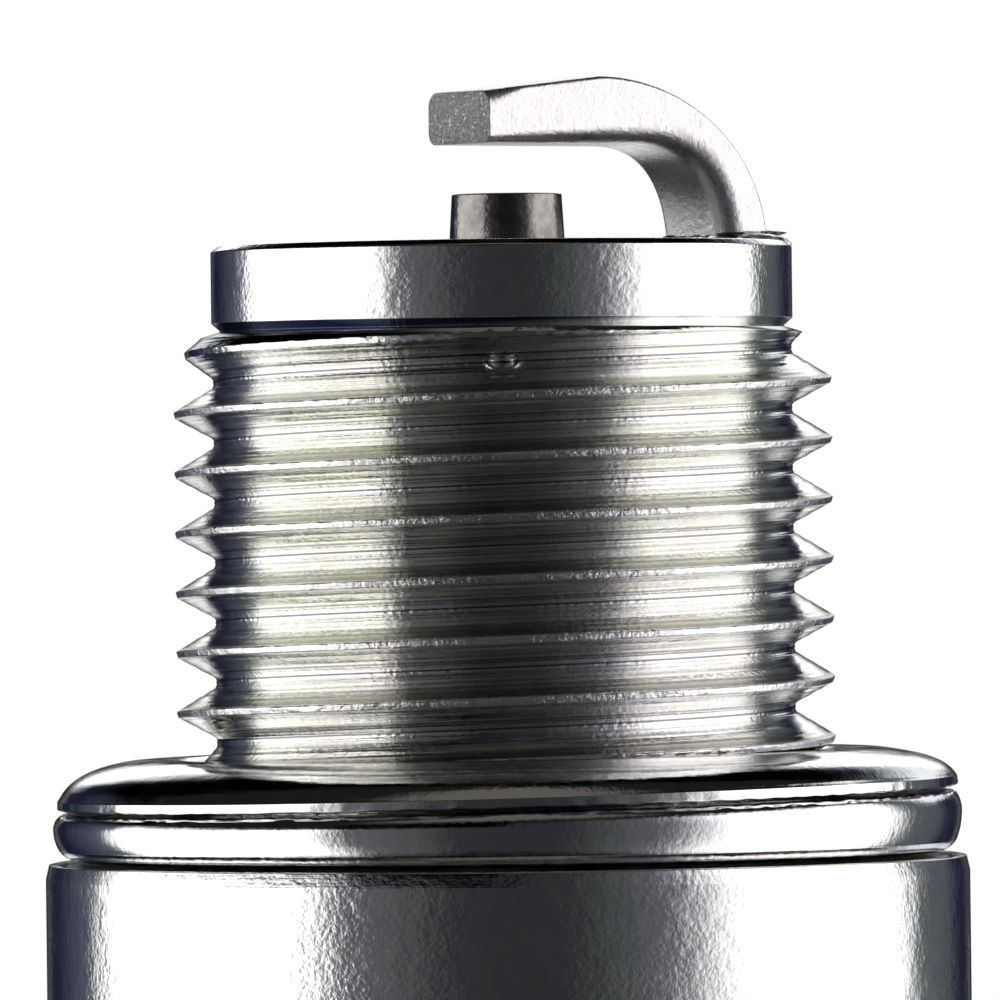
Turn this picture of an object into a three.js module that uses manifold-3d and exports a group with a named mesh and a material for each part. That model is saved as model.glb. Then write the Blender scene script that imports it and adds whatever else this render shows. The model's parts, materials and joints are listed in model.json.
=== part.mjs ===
// Spark plug with an M14 x 1.25 thread, half-inch reach, flat seat and captive gasket.
//
// Units are millimetres. The plug's axis is Z. The origin is on the axis, in the plane of the seat that
// the gasket lies on. +Z points to the firing end and -Z to the terminal.
// Outlines of turned pieces are lists of [radius, z].

import * as THREE from "three";
import { mergeVertices } from "three/addons/utils/BufferGeometryUtils.js";
import Module from "manifold-3d";

const wasm = await Module();
wasm.setup();

// ---------------------------------------------------------------- driving dimensions

const WIDE_SEGMENTS = 30; // facets round the shell, the gasket and the insulator
const SMALL_SEGMENTS = 18; // facets round what lies in the insulator's bore
const FIT_GAP = 0.06; // clearance between pieces that are pressed or fused together

// Thread and nose of the shell
const THREAD_PITCH = 1.25;
const THREAD_CREST_R = 6.89;
const THREAD_CREST_LAND = 0.22;
const THREAD_FLANK = Math.PI / 6; // each flank's lean from the plane across the axis
const THREAD_PHASE_Z = -0.01; // height at which the helix would cross the +X side near the seat
const THREAD_STEPS = 218; // one to a facet of the core, and half a facet out of step with it
const THREAD_FIRST_TURN = 49.5 / WIDE_SEGMENTS; // turns of the helix, counted from the phase point
const THREAD_LAST_TURN = THREAD_FIRST_TURN + THREAD_STEPS / WIDE_SEGMENTS;
const THREAD_RUN_OUT = 0.4; // turns over which each end fades into the core
const THREAD_BURIED = 0.09; // how far the ridge reaches into the core
const THREAD_SUNK = 0.08; // how far the ridge's crest ends up below the root at either end
const NOSE_R = 6.09; // the nose, the thread's root and the neck under the thread are one cylinder
const NOSE_Z = 12.85;
const NOSE_CHAMFER = 0.2;

// Collar, hexagon and lip of the shell
const SEAT_R = 9.17;
const COLLAR_R = 9.665;
const COLLAR_CHAMFER_Z = -0.2;
const COLLAR_Z = -5.0;
const GROOVE_R = 8.55;
const GROOVE_TOP_Z = -5.7;
const HEX_TOP_Z = -7.0;
const HEX_BOTTOM_Z = -14.2;
const HEX_ACROSS_FLATS = 20.8;
const HEX_CHAMFER_R = 10.35;
const HEX_CHAMFER_Z = 0.9;
const LIP_R = 8.9;
const LIP_Z = -15.8;
const LIP_FLAT_R = 7.5; // where the rolled lip's flat end starts
const LIP_BEND_R = 8.4;
const LIP_BEND_Z = -15.45;
const UNDER_HEX = 0.5; // how far the turned body's steps are tucked into the hexagon

// Bore of the shell
const CUT_PAST = 1; // how far the bore's cutter reaches past the shell's ends
const NOSE_BORE_R = 4.85;
const NOSE_BORE_Z = 5.5;
const LEDGE_R = 4.15;
const LEDGE_TOP_Z = 5.0;
const LEDGE_SEAT_Z = 4.0;
const STEM_BORE_R = 5.05;
const STEM_BORE_TOP_Z = 3.4;
const STEM_BORE_Z = -3.0;
const BODY_BORE_R = 7.45;
const BODY_BORE_TOP_Z = -5.0;
const LIP_INSIDE_Z = -14.8;
const LIP_BORE_R = 6.2;
const LIP_BORE_Z = -15.0;

// Ground electrode
const GAP = 1.04; // spark gap
const GROUND_WIDTH = 2.4;
const GROUND_EDGE = 0.2; // rounding of the long edges
const GROUND_TURN = THREE.MathUtils.degToRad(32); // direction of the bar's root, from +X
const GROUND_TIP = -1.0; // how far the bar passes the axis
const GROUND_INSIDE = 4.79;
const GROUND_OUTSIDE = 5.9;
const GROUND_BEND_START = 2.9; // where the underside leaves the straight
const GROUND_BEND_CENTRE = 1.8; // centre of the outer quarter ellipse
const GROUND_ROOT_LEAN = 0.1; // how far the underside leans in over its root
const GROUND_TOP_Z = 16.35;
const GROUND_TIP_TOP_Z = 16.04;

// Centre electrode
const CENTRE_R = 1.21;
const CENTRE_TIP_Z = 13.9;
const CENTRE_TIP_EDGE = 0.08;
const CENTRE_HEAD_R = 1.75;
const CENTRE_HEAD_Z = -1.0;
const CENTRE_HEAD_CONE = 0.5;
const CENTRE_END_Z = -2.6;
const CORE_R = 0.65;
const CORE_TIP_Z = 11.4;
const CORE_TIP_CONE = 0.5;

// Insulator
const INSULATOR_TIP_Z = 12.15;
const INSULATOR_TIP_R = 2.6;
const INSULATOR_TIP_EDGE = 0.25;
const INSULATOR_LEG_R = 3.2;
const INSULATOR_LEG_Z = 6.2;
const INSULATOR_WAIST_R = 3.9;
const INSULATOR_WAIST_TOP_Z = 5.0;
const INSULATOR_WAIST_Z = 3.55;
const INSULATOR_STEM_R = 4.85;
const INSULATOR_STEM_TOP_Z = 2.95;
const INSULATOR_STEM_Z = -3.2;
const INSULATOR_BODY_R = 7.25;
const INSULATOR_BODY_TOP_Z = -5.2;
const INSULATOR_BODY_Z = -9.8;
const INSULATOR_NECK_R = 6.0;
const INSULATOR_NECK_TOP_Z = -11.2;
const INSULATOR_END_Z = -41.2;
const INSULATOR_END_R = 4.4;
const INSULATOR_END_EDGE = 0.35;
const RIB_COUNT = 5;
const RIB_TOP_Z = -22.0; // start of the first rib
const RIB_PITCH = 3.2;
const RIB_CREST_R = 5.9; // first rib, and how much each next one shrinks
const RIB_SHRINK = 0.13;
const RIB_DEPTH = 0.75;
const RIB_ROUND = 0.1; // drop of the radius either side of a crest
const RIB_SHAPE = [0, 0.28, 0.45, 0.62, 0.9]; // valley, shoulder, crest, shoulder and valley, in pitches
const NECK_END_Z = -21.0;
const FIRST_VALLEY_Z = -21.7;
const TIP_BORE_R = 1.3;
const TIP_BORE_Z = -0.8;
const STUD_BORE_R = 1.95;
const STUD_BORE_TOP_Z = -1.3;

// Packing between insulator and shell
const WIRE_R = 0.53;
const WIRE_CENTRE_R = 6.74;
const WIRE_FACETS = 6;
const WASHER_SIDE_GAP = 0.05;
const LOWER_RING_Z = -11.32;
const UPPER_RING_Z = -14.18;

// What lies in the insulator's bore
const LOWER_SEAL_TOP_Z = -1.8;
const LOWER_SEAL_Z = -4.6;
const RESISTOR_Z = -12.0;
const UPPER_SEAL_Z = -16.6;

// Terminal
const STUD_R = 1.78;
const STUD_TOP_Z = -13.6;
const STUD_TOP_EDGE = 0.2;
const STUD_KNURL_R = 1.6;
const STUD_KNURL_CONE = 0.3;
const STUD_KNURL_Z = -16.9;
const STUD_FLANGE_R = 2.9;
const STUD_FLANGE_Z = -42.0;
const STUD_THREAD_R = 1.98;
const STUD_END_Z = -50.2;
const STUD_END_EDGE = 0.4;
const NUT_R = 3.175;
const NUT_WAIST_R = 2.45;
const NUT_BORE_R = 2.06;
const NUT_END_Z = -50.5;
const NUT_BASE_LENGTH = 2.4;
const NUT_HEAD_LENGTH = 3.5;
const NUT_EDGE = 0.45;
const NUT_WAIST_EDGE = 0.2;
const NUT_SEGMENTS = 24;

// Gasket: one strip of sheet rolled into a flat curl
const SHEET = 0.36;
const GASKET_INSIDE_R = 6.66;
const GASKET_CROWN_Z = 2.2;
const GASKET_FOOT_Z = 0.05;
const GASKET_FOLD_Z = 1.05; // top of the fold under the cut lip
const GASKET_FOLD_END_R = 7.6;
const GASKET_LIP_R = 9.41;
const GASKET_LIP_Z = 1.14;

// ---------------------------------------------------------------- shapes

// A solid of revolution about Z. The outline is [radius, z] points listed towards -Z on the outside.
function turned(outline, segments) {
  const points = outline.map(([radius, z]) => new THREE.Vector2(radius, z));
  const geometry = new THREE.LatheGeometry(points.reverse(), segments);
  return geometry.rotateX(Math.PI / 2);
}

// A ring: an outline that closes on itself instead of reaching the axis.
function turnedRing(outline, segments) {
  return turned([...outline, outline[0]], segments);
}

function solidOf(geometry) {
  const bare = geometry.clone();
  bare.deleteAttribute("normal");
  bare.deleteAttribute("uv");
  const merged = mergeVertices(bare, 1e-4);
  const mesh = new wasm.Mesh({
    numProp: 3,
    vertProperties: merged.getAttribute("position").array,
    triVerts: new Uint32Array(merged.index.array),
  });
  return new wasm.Manifold(mesh);
}

function geometryOf(solid) {
  const mesh = solid.getMesh();
  const geometry = new THREE.BufferGeometry();
  geometry.setAttribute("position", new THREE.BufferAttribute(mesh.vertProperties, mesh.numProp));
  geometry.setIndex(new THREE.BufferAttribute(mesh.triVerts, 1));
  geometry.computeVertexNormals();
  return geometry;
}

// Steps of a circle arc in the outline's plane, both ends included.
function arc(centreR, centreZ, radius, fromDegrees, toDegrees, steps) {
  return Array.from({ length: steps + 1 }, (_, step) => {
    const angle = THREE.MathUtils.degToRad(fromDegrees + ((toDegrees - fromDegrees) * step) / steps);
    return [centreR + radius * Math.cos(angle), centreZ + radius * Math.sin(angle)];
  });
}

// The centre line of the thread's ridge. At both ends it sinks into the core, as a rolled thread fades.
class ThreadHelix extends THREE.Curve {
  getPoint(t, target = new THREE.Vector3()) {
    const turn = THREE.MathUtils.lerp(THREAD_FIRST_TURN, THREAD_LAST_TURN, t);
    const fromEnd = Math.min(turn - THREAD_FIRST_TURN, THREAD_LAST_TURN - turn);
    const fade = Math.max(0, 1 - fromEnd / THREAD_RUN_OUT);
    const radius = THREAD_CREST_R - fade * (THREAD_CREST_R - NOSE_R + THREAD_SUNK);
    const angle = 2 * Math.PI * turn;
    const z = THREAD_PHASE_Z + THREAD_PITCH * turn;
    return target.set(radius * Math.cos(angle), radius * Math.sin(angle), z);
  }

  // Equal steps of angle, not of length.
  getPointAt(t, target) {
    return this.getPoint(t, target);
  }

  // The ridge's section stays upright: its x runs out from the axis and its y down along it.
  computeFrenetFrames(segments) {
    const frames = { tangents: [], normals: [], binormals: [] };
    for (let step = 0; step <= segments; step += 1) {
      const point = this.getPoint(step / segments);
      frames.tangents.push(this.getTangent(step / segments));
      frames.normals.push(new THREE.Vector3(point.x, point.y, 0).normalize());
      frames.binormals.push(new THREE.Vector3(0, 0, -1));
    }
    return frames;
  }
}

function threadRidge() {
  const height = THREAD_CREST_R - NOSE_R + THREAD_BURIED;
  const halfCrest = THREAD_CREST_LAND / 2;
  const halfFoot = halfCrest + height * Math.tan(THREAD_FLANK);
  const section = new THREE.Shape([
    new THREE.Vector2(0, -halfCrest),
    new THREE.Vector2(0, halfCrest),
    new THREE.Vector2(-height, halfFoot),
    new THREE.Vector2(-height, -halfFoot),
  ]);
  return new THREE.ExtrudeGeometry(section, { steps: THREAD_STEPS, extrudePath: new ThreadHelix() });
}

// Hexagon with its corners turned back to a cone at both ends. Two of its flats face +X and -X.
function hexagon() {
  const height = HEX_TOP_Z - HEX_BOTTOM_Z;
  const cornerR = HEX_ACROSS_FLATS / Math.sqrt(3);
  const prism = new THREE.CylinderGeometry(cornerR, cornerR, height, 6);
  prism.rotateX(Math.PI / 2);
  prism.translate(0, 0, (HEX_TOP_Z + HEX_BOTTOM_Z) / 2);
  const turnedBack = turned(
    [
      [0, HEX_TOP_Z],
      [HEX_CHAMFER_R, HEX_TOP_Z],
      [cornerR, HEX_TOP_Z - HEX_CHAMFER_Z],
      [cornerR, HEX_BOTTOM_Z + HEX_CHAMFER_Z],
      [HEX_CHAMFER_R, HEX_BOTTOM_Z],
      [0, HEX_BOTTOM_Z],
    ],
    WIDE_SEGMENTS,
  );
  return solidOf(prism).intersect(solidOf(turnedBack));
}

// ---------------------------------------------------------------- pieces

function shell() {
  const outside = turned(
    [
      [0, NOSE_Z],
      [NOSE_R - NOSE_CHAMFER, NOSE_Z],
      [NOSE_R, NOSE_Z - NOSE_CHAMFER],
      [NOSE_R, 0],
      [SEAT_R, 0],
      [COLLAR_R, COLLAR_CHAMFER_Z],
      [COLLAR_R, COLLAR_Z],
      [GROOVE_R, GROOVE_TOP_Z],
      [GROOVE_R, HEX_TOP_Z - UNDER_HEX],
      [LIP_R, HEX_TOP_Z - 2 * UNDER_HEX],
      [LIP_R, HEX_BOTTOM_Z - UNDER_HEX],
      [LIP_BEND_R, LIP_BEND_Z],
      [LIP_FLAT_R, LIP_Z],
      [0, LIP_Z],
    ],
    WIDE_SEGMENTS,
  );
  const bore = turned(
    [
      [0, NOSE_Z + CUT_PAST],
      [NOSE_BORE_R, NOSE_Z + CUT_PAST],
      [NOSE_BORE_R, NOSE_BORE_Z],
      [LEDGE_R, LEDGE_TOP_Z],
      [LEDGE_R, LEDGE_SEAT_Z],
      [STEM_BORE_R, STEM_BORE_TOP_Z],
      [STEM_BORE_R, STEM_BORE_Z],
      [BODY_BORE_R, BODY_BORE_TOP_Z],
      [BODY_BORE_R, LIP_INSIDE_Z],
      [LIP_BORE_R, LIP_BORE_Z],
      [LIP_BORE_R, LIP_Z - CUT_PAST],
      [0, LIP_Z - CUT_PAST],
    ],
    WIDE_SEGMENTS,
  );
  const whole = solidOf(outside).add(hexagon()).add(solidOf(threadRidge()));
  return geometryOf(whole.subtract(solidOf(bore)));
}

// A bar bent over the centre electrode, drawn from the side and given its width.
function groundElectrode() {
  const underZ = CENTRE_TIP_Z + GAP;
  const side = new THREE.Shape();
  side.moveTo(GROUND_INSIDE, NOSE_Z);
  side.quadraticCurveTo(GROUND_INSIDE - GROUND_ROOT_LEAN, underZ, GROUND_BEND_START, underZ);
  side.lineTo(GROUND_TIP, underZ);
  side.lineTo(GROUND_TIP, GROUND_TIP_TOP_Z);
  side.lineTo(GROUND_BEND_CENTRE, GROUND_TOP_Z);
  side.absellipse(
    GROUND_BEND_CENTRE,
    NOSE_Z,
    GROUND_OUTSIDE - GROUND_BEND_CENTRE,
    GROUND_TOP_Z - NOSE_Z,
    Math.PI / 2,
    0,
    true,
  );
  const bar = new THREE.ExtrudeGeometry(side, {
    depth: GROUND_WIDTH - 2 * GROUND_EDGE,
    curveSegments: 8,
    bevelThickness: GROUND_EDGE,
    bevelSize: GROUND_EDGE,
    bevelOffset: -GROUND_EDGE,
    bevelSegments: 2,
  });
  bar.rotateX(Math.PI / 2);
  bar.translate(0, GROUND_WIDTH / 2 - GROUND_EDGE, 0);
  return bar.rotateZ(GROUND_TURN);
}

// The strip starts as a cut lip outside, goes over the crown, down the inside and along the seat, and
// folds back under its own lip.
function gasket() {
  const outerFace = [
    [GASKET_LIP_R, GASKET_LIP_Z],
    [9.28, 1.52],
    [8.8, 1.92],
    [7.85, GASKET_CROWN_Z],
    [6.95, GASKET_CROWN_Z],
    [GASKET_INSIDE_R, GASKET_CROWN_Z - 0.3],
    [GASKET_INSIDE_R, GASKET_FOOT_Z + 0.27],
    [6.95, GASKET_FOOT_Z],
    [9.0, GASKET_FOOT_Z],
    [9.38, 0.3],
    [9.5, 0.66],
    [9.4, 0.95],
    [9.1, GASKET_FOLD_Z],
    [GASKET_FOLD_END_R, GASKET_FOLD_Z],
  ];
  const innerFace = [
    [GASKET_FOLD_END_R, GASKET_FOLD_Z - SHEET],
    [9.0, GASKET_FOLD_Z - SHEET],
    [9.15, 0.55],
    [9.0, GASKET_FOOT_Z + SHEET],
    [7.12, GASKET_FOOT_Z + SHEET],
    [GASKET_INSIDE_R + SHEET, 0.5],
    [GASKET_INSIDE_R + SHEET, 1.75],
    [7.15, GASKET_CROWN_Z - SHEET],
    [7.75, GASKET_CROWN_Z - SHEET],
    [8.6, 1.6],
    [8.98, 1.36],
    [9.12, GASKET_LIP_Z],
  ];
  return turnedRing([...outerFace, ...innerFace].reverse(), WIDE_SEGMENTS);
}

function ribs() {
  const points = [];
  for (let rib = 0; rib < RIB_COUNT; rib += 1) {
    const z = RIB_TOP_Z - rib * RIB_PITCH;
    const crestR = RIB_CREST_R - rib * RIB_SHRINK;
    const valleyR = crestR - RIB_DEPTH;
    const radii = [valleyR, crestR - RIB_ROUND, crestR, crestR - RIB_ROUND, valleyR];
    radii.forEach((radius, index) => points.push([radius, z - RIB_SHAPE[index] * RIB_PITCH]));
  }
  return points;
}

function insulator() {
  const firstValleyR = RIB_CREST_R - RIB_DEPTH;
  const outline = [
    [TIP_BORE_R, INSULATOR_TIP_Z],
    [INSULATOR_TIP_R - INSULATOR_TIP_EDGE, INSULATOR_TIP_Z],
    [INSULATOR_TIP_R, INSULATOR_TIP_Z - INSULATOR_TIP_EDGE],
    [INSULATOR_LEG_R, INSULATOR_LEG_Z],
    [INSULATOR_WAIST_R, INSULATOR_WAIST_TOP_Z],
    [INSULATOR_WAIST_R, INSULATOR_WAIST_Z],
    [INSULATOR_STEM_R, INSULATOR_STEM_TOP_Z],
    [INSULATOR_STEM_R, INSULATOR_STEM_Z],
    [INSULATOR_BODY_R, INSULATOR_BODY_TOP_Z],
    [INSULATOR_BODY_R, INSULATOR_BODY_Z],
    [INSULATOR_NECK_R, INSULATOR_NECK_TOP_Z],
    [INSULATOR_NECK_R, NECK_END_Z],
    [firstValleyR, FIRST_VALLEY_Z],
    ...ribs(),
    [INSULATOR_END_R, INSULATOR_END_Z + INSULATOR_END_EDGE],
    [INSULATOR_END_R - INSULATOR_END_EDGE, INSULATOR_END_Z],
    [STUD_BORE_R, INSULATOR_END_Z],
    [STUD_BORE_R, STUD_BORE_TOP_Z],
    [TIP_BORE_R, TIP_BORE_Z],
  ];
  return turnedRing(outline, WIDE_SEGMENTS);
}

// The washer fills the space between the shell's ledge and the insulator's shoulder, two parallel cones.
function lowerPackingWasher() {
  const slope = (LEDGE_SEAT_Z - STEM_BORE_TOP_Z) / (STEM_BORE_R - LEDGE_R);
  const ledgeZ = (radius) => STEM_BORE_TOP_Z + (STEM_BORE_R - radius) * slope - FIT_GAP;
  const shoulderZ = (radius) => INSULATOR_STEM_TOP_Z + (INSULATOR_STEM_R - radius) * slope + FIT_GAP;
  const insideR = LEDGE_R + WASHER_SIDE_GAP;
  const outsideR = INSULATOR_STEM_R - WASHER_SIDE_GAP;
  const outline = [
    [insideR, ledgeZ(insideR)],
    [outsideR, ledgeZ(outsideR)],
    [outsideR, shoulderZ(outsideR)],
    [insideR, shoulderZ(insideR)],
  ];
  return turnedRing(outline, WIDE_SEGMENTS);
}

function packingRing(z) {
  const outline = arc(WIRE_CENTRE_R, z, WIRE_R, 90, 90 - 360, WIRE_FACETS).slice(0, WIRE_FACETS);
  return turnedRing(outline, WIDE_SEGMENTS);
}

function talcFill() {
  const topZ = LOWER_RING_Z - WIRE_R - FIT_GAP;
  const bottomZ = UPPER_RING_Z + WIRE_R + FIT_GAP;
  const outline = [
    [INSULATOR_NECK_R + FIT_GAP, topZ],
    [BODY_BORE_R - FIT_GAP, topZ],
    [BODY_BORE_R - FIT_GAP, bottomZ],
    [INSULATOR_NECK_R + FIT_GAP, bottomZ],
  ];
  return turnedRing(outline, WIDE_SEGMENTS);
}

// A cup of nickel alloy: closed at the spark gap, open at its head, where the copper was pressed in.
function centreElectrodeSheath() {
  const outline = [
    [0, CENTRE_TIP_Z],
    [CENTRE_R - CENTRE_TIP_EDGE, CENTRE_TIP_Z],
    [CENTRE_R, CENTRE_TIP_Z - CENTRE_TIP_EDGE],
    [CENTRE_R, CENTRE_HEAD_Z],
    [CENTRE_HEAD_R, CENTRE_HEAD_Z - CENTRE_HEAD_CONE],
    [CENTRE_HEAD_R, CENTRE_END_Z],
    [CORE_R + FIT_GAP, CENTRE_END_Z],
    [CORE_R + FIT_GAP, CORE_TIP_Z - CORE_TIP_CONE + FIT_GAP],
    [0, CORE_TIP_Z + FIT_GAP],
  ];
  return turned(outline, SMALL_SEGMENTS);
}

function centreElectrodeCore() {
  const outline = [
    [0, CORE_TIP_Z - FIT_GAP],
    [CORE_R, CORE_TIP_Z - CORE_TIP_CONE],
    [CORE_R, CENTRE_END_Z],
    [0, CENTRE_END_Z],
  ];
  return turned(outline, SMALL_SEGMENTS);
}

// Glass that was melted round the electrode's head.
function lowerGlassSeal() {
  const outsideR = STUD_BORE_R - FIT_GAP;
  const headR = CENTRE_HEAD_R + FIT_GAP;
  const outline = [
    [headR, LOWER_SEAL_TOP_Z],
    [outsideR, LOWER_SEAL_TOP_Z],
    [outsideR, LOWER_SEAL_Z],
    [0, LOWER_SEAL_Z],
    [0, CENTRE_END_Z - FIT_GAP],
    [headR, CENTRE_END_Z - FIT_GAP],
  ];
  return turnedRing(outline, SMALL_SEGMENTS);
}

function resistor() {
  const radius = STUD_BORE_R - FIT_GAP;
  const outline = [
    [0, LOWER_SEAL_Z - FIT_GAP],
    [radius, LOWER_SEAL_Z - FIT_GAP],
    [radius, RESISTOR_Z],
    [0, RESISTOR_Z],
  ];
  return turned(outline, SMALL_SEGMENTS);
}

// A cup of glass that holds the knurled end of the stud.
function upperGlassSeal() {
  const outsideR = STUD_BORE_R - FIT_GAP;
  const insideR = STUD_KNURL_R + FIT_GAP;
  const outline = [
    [0, RESISTOR_Z - FIT_GAP],
    [outsideR, RESISTOR_Z - FIT_GAP],
    [outsideR, UPPER_SEAL_Z],
    [insideR, UPPER_SEAL_Z],
    [insideR, STUD_TOP_Z + FIT_GAP],
    [0, STUD_TOP_Z + FIT_GAP],
  ];
  return turned(outline, SMALL_SEGMENTS);
}

function terminalStud() {
  const outline = [
    [0, STUD_TOP_Z],
    [STUD_KNURL_R - STUD_TOP_EDGE, STUD_TOP_Z],
    [STUD_KNURL_R, STUD_TOP_Z - STUD_TOP_EDGE],
    [STUD_KNURL_R, STUD_KNURL_Z],
    [STUD_R, STUD_KNURL_Z - STUD_KNURL_CONE],
    [STUD_R, INSULATOR_END_Z - FIT_GAP],
    [STUD_FLANGE_R, INSULATOR_END_Z - FIT_GAP],
    [STUD_FLANGE_R, STUD_FLANGE_Z],
    [STUD_THREAD_R, STUD_FLANGE_Z],
    [STUD_THREAD_R, STUD_END_Z + STUD_END_EDGE],
    [STUD_THREAD_R - STUD_END_EDGE, STUD_END_Z],
    [0, STUD_END_Z],
  ];
  return turned(outline, SMALL_SEGMENTS);
}

// A barrel with a waist, which the spring of the plug cap snaps into.
function terminalNut() {
  const topZ = STUD_FLANGE_Z - FIT_GAP;
  const waistTopZ = topZ - NUT_BASE_LENGTH;
  const waistBottomZ = NUT_END_Z + NUT_HEAD_LENGTH;
  const outline = [
    [NUT_BORE_R, topZ],
    [NUT_R - NUT_EDGE, topZ],
    [NUT_R, topZ - NUT_EDGE],
    [NUT_R, waistTopZ + NUT_EDGE],
    [NUT_WAIST_R, waistTopZ - NUT_WAIST_EDGE],
    [NUT_WAIST_R, waistBottomZ + NUT_WAIST_EDGE],
    [NUT_R, waistBottomZ - NUT_EDGE],
    [NUT_R, NUT_END_Z + NUT_EDGE],
    [NUT_R - NUT_EDGE, NUT_END_Z],
    [NUT_BORE_R, NUT_END_Z],
  ];
  return turnedRing(outline, NUT_SEGMENTS);
}

// ---------------------------------------------------------------- assembly

const PLATED_STEEL = { color: 0xb9bcc0, roughness: 0.28, metalness: 1 };
const GASKET_STEEL = { color: 0xb4b8b6, roughness: 0.34, metalness: 1 };
const PLAIN_STEEL = { color: 0x8f9194, roughness: 0.5, metalness: 1 };
const NICKEL_ALLOY = { color: 0xc3c2bf, roughness: 0.4, metalness: 1 };
const DARK_NICKEL = { color: 0x74767b, roughness: 0.45, metalness: 1 };
const COPPER = { color: 0xb8734a, roughness: 0.35, metalness: 1 };
const ALUMINA = { color: 0xf2f0ea, roughness: 0.15, metalness: 0 };
const TALC = { color: 0xd9d6cc, roughness: 0.95, metalness: 0 };
const SEAL_GLASS = { color: 0x5a4a3c, roughness: 0.4, metalness: 0 };
const RESISTOR_MIX = { color: 0x3a3a3c, roughness: 0.8, metalness: 0 };

const plug = new THREE.Group();

function addPiece(name, geometry, look) {
  const mesh = new THREE.Mesh(geometry, new THREE.MeshStandardMaterial(look));
  mesh.name = name;
  plug.add(mesh);
}

addPiece("shell", shell(), PLATED_STEEL);
addPiece("ground_electrode", groundElectrode(), NICKEL_ALLOY);
addPiece("gasket", gasket(), GASKET_STEEL);
addPiece("insulator", insulator(), ALUMINA);
addPiece("lower_packing_washer", lowerPackingWasher(), PLAIN_STEEL);
addPiece("lower_packing_ring", packingRing(LOWER_RING_Z), PLAIN_STEEL);
addPiece("talc_fill", talcFill(), TALC);
addPiece("upper_packing_ring", packingRing(UPPER_RING_Z), PLAIN_STEEL);
addPiece("centre_electrode_sheath", centreElectrodeSheath(), DARK_NICKEL);
addPiece("centre_electrode_core", centreElectrodeCore(), COPPER);
addPiece("lower_glass_seal", lowerGlassSeal(), SEAL_GLASS);
addPiece("resistor", resistor(), RESISTOR_MIX);
addPiece("upper_glass_seal", upperGlassSeal(), SEAL_GLASS);
addPiece("terminal_stud", terminalStud(), PLAIN_STEEL);
addPiece("terminal_nut", terminalNut(), PLATED_STEEL);

export default plug;
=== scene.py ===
"""The looks of the spark plug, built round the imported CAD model.

Lengths here are millimetres, turned into metres where a mesh is made. Radii and heights that the CAD model
also holds are read from its boxes. Outlines of turned pieces are lists of (radius, z, fillet).
"""

import json
import math

import bmesh
import bpy
import numpy as np
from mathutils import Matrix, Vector, noise


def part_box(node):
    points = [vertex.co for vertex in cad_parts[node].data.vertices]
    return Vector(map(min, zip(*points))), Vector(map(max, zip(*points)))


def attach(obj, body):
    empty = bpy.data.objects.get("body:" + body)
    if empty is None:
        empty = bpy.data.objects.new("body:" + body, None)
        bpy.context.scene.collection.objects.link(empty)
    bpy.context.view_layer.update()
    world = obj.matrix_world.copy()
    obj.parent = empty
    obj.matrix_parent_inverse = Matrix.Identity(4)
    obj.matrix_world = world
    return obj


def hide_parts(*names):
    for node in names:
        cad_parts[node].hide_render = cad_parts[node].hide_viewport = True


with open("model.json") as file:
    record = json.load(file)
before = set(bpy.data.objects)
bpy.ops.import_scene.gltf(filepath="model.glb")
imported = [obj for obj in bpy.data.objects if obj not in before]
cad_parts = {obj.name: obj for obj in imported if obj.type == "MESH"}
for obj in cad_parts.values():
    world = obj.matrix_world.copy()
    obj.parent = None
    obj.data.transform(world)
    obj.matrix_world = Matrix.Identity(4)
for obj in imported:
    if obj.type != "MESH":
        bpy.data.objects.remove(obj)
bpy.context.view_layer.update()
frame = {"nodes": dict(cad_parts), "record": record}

MM = 0.001


# ---------------------------------------------------------------- sizes


def low(node):
    """The lowest corner of a CAD node's box."""
    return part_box(node)[0] / MM


def high(node):
    """The highest corner of a CAD node's box."""
    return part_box(node)[1] / MM


NOSE_Z = high("shell").z
LIP_Z = low("shell").z
HEX_FLAT_R = high("shell").x
COLLAR_R = 9.665
NOSE_R = 6.08
CREST_R = 6.89
ROOT_R = 6.05
PITCH = 1.25
PHASE_Z = -0.01  # height of the crest at azimuth 0 in the helix's first lap
THREAD_LOW_Z = 0.6
THREAD_HIGH_Z = 10.95
NOSE_LAND_Z = 11.25  # where the undercut over the thread ends and the nose's full width starts
GROUND_TURN = math.radians(32)
BAR_REACH = 1.0  # how far the ground electrode's sheared end lies beyond the axis
CENTRE_TIP_Z = high("centre_electrode_sheath").z
GAP_Z = CENTRE_TIP_Z + 1.04
INSULATOR_END_Z = low("insulator").z
INSULATOR_TIP_Z = high("insulator").z
NUT_END_Z = low("terminal_nut").z
NUT_TOP_Z = high("terminal_nut").z
NUT_TRAVEL = 10


# ---------------------------------------------------------------- camera and light


def camera():
    """A long lens, level, a little above the gasket, looking along +Y."""
    data = bpy.data.cameras.new("camera")
    data.sensor_width = 36
    data.lens = 456
    data.clip_start = 0.01
    data.clip_end = 20
    view = bpy.data.objects.new("camera", data)
    view.location = Vector((-0.08, -265, 7.5)) * MM
    view.rotation_euler = (math.radians(90), math.radians(0.65), 0)
    bpy.context.collection.objects.link(view)
    bpy.context.scene.camera = view


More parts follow.
